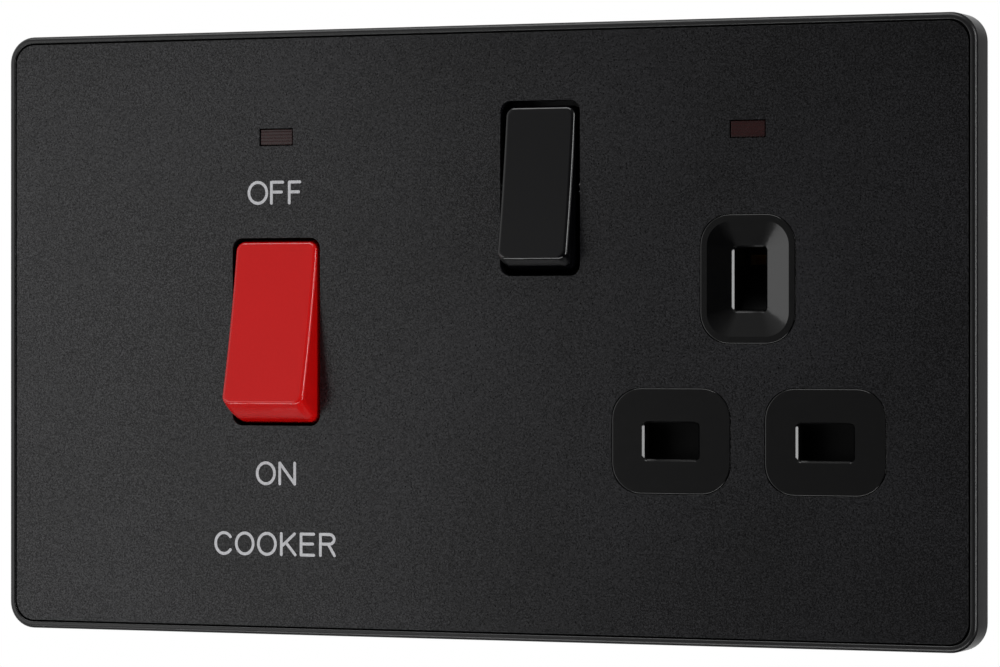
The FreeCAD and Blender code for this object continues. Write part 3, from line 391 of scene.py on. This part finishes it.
# Neon windows: small smoky red mouldings, ribbed across to spread the glow of the lamp behind them. They
# stand in the sheet's two narrow apertures.
RIB_PITCH = 0.00045
tint = Finish(bpy.data.materials.new("lens_smoky_red"), Transmission_Weight=0.15, IOR=1.42)
cloud = tint.noise(700, 2.0)
turns = tint.along("Z") * (2 * math.pi / RIB_PITCH)
rib = 0.5 + 0.5 * tint.sum("SINE", turns)
tint.feed(
    Base_Color=tint.blend(0.5 * rib + 0.5 * cloud, (0.010, 0.0005, 0.0005), (0.018, 0.0010, 0.0010)),
    Roughness=0.21 + 0.1 * cloud,
    Normal=tint.bump(rib, 1.5e-5),
)
for name in ("cooker_neon_lens", "socket_neon_lens"):
    dress(name, tint, 0.00008)


# Rear cover: a deep tray in dull black, with a coarser mould texture than the front. Four screws hold it
# on from behind, over the terminals.
tray = Finish(bpy.data.materials.new("cover_dull_black"))
grain = tray.noise(2600, 4.0)
drift = tray.noise(40, 2.0)
tray.feed(
    Base_Color=tray.blend(0.6 * grain + 0.4 * drift, (0.010, 0.010, 0.011), (0.020, 0.020, 0.021)),
    Roughness=0.42 + 0.16 * grain,
    Normal=tray.bump(grain, 1.4e-5),
)
dress("rear_cover", tray, 0.0002)


# Brass: blocks, strips and clips pressed or drawn from brass, bright with a little tarnish and the long
# fine lines of the rolling.
brass = Finish(bpy.data.materials.new("terminal_brass"), Metallic=1.0)
tarnish = brass.noise(260, 4.0)
rolled = brass.node("ShaderNodeMapping", None, {"Vector": brass.place, "Scale": (9000, 900, 900)})
lines = brass.noise(1.0, 2.0, place=rolled)
brass.feed(
    Base_Color=brass.blend(tarnish, (0.60, 0.40, 0.15), (0.80, 0.60, 0.28)),
    Roughness=0.34 + 0.16 * lines + 0.1 * tarnish,
    Normal=brass.bump(lines, 5e-6),
)
for name, slot in SLOTS.items():
    if slot == "brass":
        dress(name, brass, 0.00008)


# Moving contacts: sprung copper alloy arms, each with a rivet on its back near the load end. Each rocks
# on the post that feeds it.
copper = Finish(bpy.data.materials.new("arm_copper"), Metallic=1.0)
stain = copper.noise(420, 4.0)
rolled = copper.node("ShaderNodeMapping", None, {"Vector": copper.place, "Scale": (900, 900, 7000)})
lines = copper.noise(1.0, 2.0, place=rolled)
copper.feed(
    Base_Color=copper.blend(stain, (0.62, 0.30, 0.17), (0.80, 0.46, 0.30)),
    Roughness=0.24 + 0.2 * lines,
    Normal=copper.bump(lines, 4e-6),
)
for name in ("cooker_moving_contact_line", "cooker_moving_contact_neutral", "socket_moving_contact"):
    dress(name, copper, 0.00008)


# Plungers: turned white nylon, slightly waxy. Each slides in its rocker's sleeve, with a spring behind
# it and its round nose on a moving contact.
nylon = Finish(bpy.data.materials.new("plunger_nylon"), Subsurface_Weight=0.1,
               Subsurface_Radius=(6e-4, 6e-4, 5e-4))
wax = nylon.noise(1400, 3.0)
nylon.feed(
    Base_Color=nylon.blend(wax, (0.66, 0.65, 0.60), (0.78, 0.77, 0.72)),
    Roughness=0.36 + 0.14 * wax,
)
for name in ("cooker_plunger_line", "cooker_plunger_neutral", "socket_plunger"):
    dress(name, nylon, 0.00005)


# Springs: wound from drawn steel wire, bright with fine die lines. Each is held at one end and gets
# shorter as its slide travels; the share of its length that would stay is worked out, but its mesh is not
# pressed.
wire = Finish(bpy.data.materials.new("spring_wire"), Metallic=1.0)
lines = wire.noise(5200, 2.0)
wire.feed(
    Base_Color=wire.blend(lines, (0.38, 0.38, 0.40), (0.58, 0.58, 0.60)),
    Roughness=0.2 + 0.16 * lines,
)
slides = {joint["name"]: joint for joint in frame["record"]["behaviour"]["joints"]}


def middle_of(name):
    """The middle of a node's box."""
    low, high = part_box(name)
    return (low + high) / 2


for name, slide in (
    ("cooker_spring_line", "cooker_plunger_line_slide"),
    ("cooker_spring_neutral", "cooker_plunger_neutral_slide"),
    ("socket_spring", "socket_plunger_slide"),
    ("shutter_spring", "shutter_slide"),
):
    coil = dress(name, wire, angle=180.0)
    axis = np.array(slides[slide]["axis"], float)
    reach = np.array([vertex.co for vertex in coil.data.vertices]) @ axis
    middle = np.array(middle_of(name))
    keep = 1 - max(slides[slide]["range_m"]) / np.ptp(reach)
    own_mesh(coil)


# Screws: zinc plated steel with a sawn slot, faintly yellowed in patches. Six clamp the cables in their
# terminals, and four hold the rear cover.
zinc = Finish(bpy.data.materials.new("screw_zinc"), Metallic=1.0)
patch = zinc.noise(900, 3.0)
turned = zinc.noise(6000, 2.0)
zinc.feed(
    Base_Color=zinc.blend(patch, (0.46, 0.45, 0.42), (0.66, 0.66, 0.66)),
    Roughness=0.24 + 0.16 * turned,
    Normal=zinc.bump(turned, 4e-6),
)
for name in ("terminal_screws", "housing_screws"):
    dress(name, zinc, 0.00012)


# Neon lamps: a glass tube with a faint orange cast from its electrodes, on tinned leads. It lies behind
# its window.
LEAD_RADIUS = 0.00035
TIN = (0.55, 0.55, 0.56)


def clear_of_leads(finish, middle):
    """0 on the thin leads and 1 on the body round them, by the distance from the piece's long axis."""
    off_y, off_z = finish.along("Y") - middle.y, finish.along("Z") - middle.z
    return ((off_y * off_y + off_z * off_z) ** 0.5).step(LEAD_RADIUS, 2 * LEAD_RADIUS)


for name in ("cooker_neon_lamp", "socket_neon_lamp"):
    glass = Finish(bpy.data.materials.new(f"{name}_glass"), IOR=1.5)
    tube = clear_of_leads(glass, middle_of(name))
    haze = glass.noise(1100, 2.0)
    glass.feed(
        Base_Color=glass.blend(tube * (0.5 + 0.5 * haze), TIN, (0.62, 0.36, 0.22)),
        Roughness=0.05 + 0.2 * haze,
        Metallic=1 - tube,
    )
    dress(name, glass, 0.00006)


# Resistors: a lacquered blue body with its colour bands, on tinned leads. Each is in series with the
# neon lamp beside it.
BAND_HALF = 0.0003
BANDS = ((-0.0021, (0.30, 0.11, 0.03)), (-0.0011, (0.02, 0.02, 0.02)), (-0.0001, (0.70, 0.55, 0.05)),
         (0.0017, (0.55, 0.38, 0.12)))
for name in ("cooker_resistor", "socket_resistor"):
    middle = middle_of(name)
    lacquer = Finish(bpy.data.materials.new(f"{name}_lacquer"), Coat_Weight=0.3)
    body = clear_of_leads(lacquer, middle)
    colour = lacquer.blend(lacquer.noise(900), (0.10, 0.22, 0.38), (0.16, 0.30, 0.48))
    for shift, band in BANDS:
        away = lacquer.sum("ABSOLUTE", lacquer.along("X") - (middle.x + shift))
        colour = lacquer.blend(away.step(BAND_HALF, BAND_HALF * 1.2), band, colour)
    lacquer.feed(
        Base_Color=lacquer.blend(body, TIN, colour),
        Roughness=0.2 + 0.2 * lacquer.noise(1500),
        Metallic=1 - body,
    )
    dress(name, lacquer, 0.0001)


# Stage: a pale floor well below the unit, which hangs as it does on its wall. The floor takes the soft
# shadow under the unit and runs out to plain white.
FLOOR_HEIGHT = -0.35
FLOOR_HALF = 14.0
SHADOW_NEAR, SHADOW_FAR = 0.35, 1.0
floor_mesh = bpy.data.meshes.new("floor")
corners = np.array([(-1, -1), (1, -1), (1, 1), (-1, 1)]) * FLOOR_HALF
floor_mesh.from_pydata([(x, y, FLOOR_HEIGHT) for x, y in corners.tolist()], [], [(0, 1, 2, 3)])
floor = bpy.data.objects.new("floor", floor_mesh)
bpy.context.scene.collection.objects.link(floor)
floor.visible_glossy = False
pale = Finish(bpy.data.materials.new("floor_pale"), Roughness=0.9, Base_Color=(0.86, 0.86, 0.86, 1))
floor_mesh.materials.append(pale.owner)
away_x, away_y = pale.along("X"), pale.along("Y")
away = (away_x * away_x + away_y * away_y) ** 0.5
seen = pale.node("ShaderNodeLightPath", output="Is Camera Ray")
white = pale.node("ShaderNodeEmission", None, {"Color": (1, 1, 1, 1), "Strength": 1.0})
lit = Wire(pale, pale.shader.outputs[0])
ground = pale.node(
    "ShaderNodeMixShader", None, {0: away.step(SHADOW_NEAR, SHADOW_FAR) * seen, 1: lit, 2: white}
)
surface = next(node for node in pale.tree.nodes if node.type == "OUTPUT_MATERIAL").inputs["Surface"]
pale.tree.links.new(ground.socket, surface)


# World: white to the camera all round. Gloss and glass see the white backdrop where it stands behind
# the unit, and elsewhere the dim walls of a studio, palest at the upper left.
WALL_DARK, WALL_LEFT, WALL_TOP = 0.003, 0.85, 0.26
AMBIENT = 0.48
BACKDROP = (-0.376, 0.927, 0.0)
BACKDROP_FADE = (0.77, 0.97)
world = bpy.data.worlds.new("studio")
bpy.context.scene.world = world
sky = Finish(world, coordinates="Generated", Color=(1, 1, 1, 1))
sight = sky.node("ShaderNodeLightPath", output="Is Camera Ray")
mirror = sky.sum(
    "MAXIMUM", sky.node("ShaderNodeLightPath", output="Is Glossy Ray"),
    sky.node("ShaderNodeLightPath", output="Is Transmission Ray"),
)
facing = sky.node(
    "ShaderNodeVectorMath", {"operation": "DOT_PRODUCT"}, {0: sky.place, 1: BACKDROP}, output="Value"
)
leftward = (0 - sky.along("X")).step(0.0, 1.0) ** 1.5
upward = sky.along("Z").step(0.0, 1.0)
walls = WALL_DARK + WALL_LEFT * leftward + WALL_TOP * upward
behind = facing.step(*BACKDROP_FADE)
reflected = behind + (1 - behind) * walls
level = sight + (1 - sight) * (mirror * reflected + (1 - mirror) * AMBIENT)
sky.feed(Strength=level)


# Lamps: a tall soft box near the left, a strip at the right that draws the edges, a broad box above and
# a small one below.
def soft_box(name, place, width, height, level):
    """An area lamp that looks at the unit's middle. The level is about its own brightness."""
    light = bpy.data.lights.new(name, "AREA")
    light.shape = "RECTANGLE"
    light.size, light.size_y = width, height
    light.energy = level * 4 * width * height
    lamp = bpy.data.objects.new(name, light)
    lamp.location = place
    lamp.visible_camera = False
    flat = math.hypot(place[0], place[1])
    lamp.rotation_euler = (
        math.pi / 2 + math.atan2(-place[2], flat), 0, math.atan2(place[0], -place[1])
    )
    bpy.context.scene.collection.objects.link(lamp)


soft_box("left_box", (-0.278, -0.35, -0.03), 0.24, 0.26, 1.0)
soft_box("right_strip", (0.90, -0.26, 0.10), 0.20, 0.9, 7.0)
soft_box("top_box", (-0.2, -0.45, 1.0), 0.9, 0.5, 2.8)
soft_box("low_box", (0.0, -0.25, -0.33), 0.5, 0.12, 3.5)
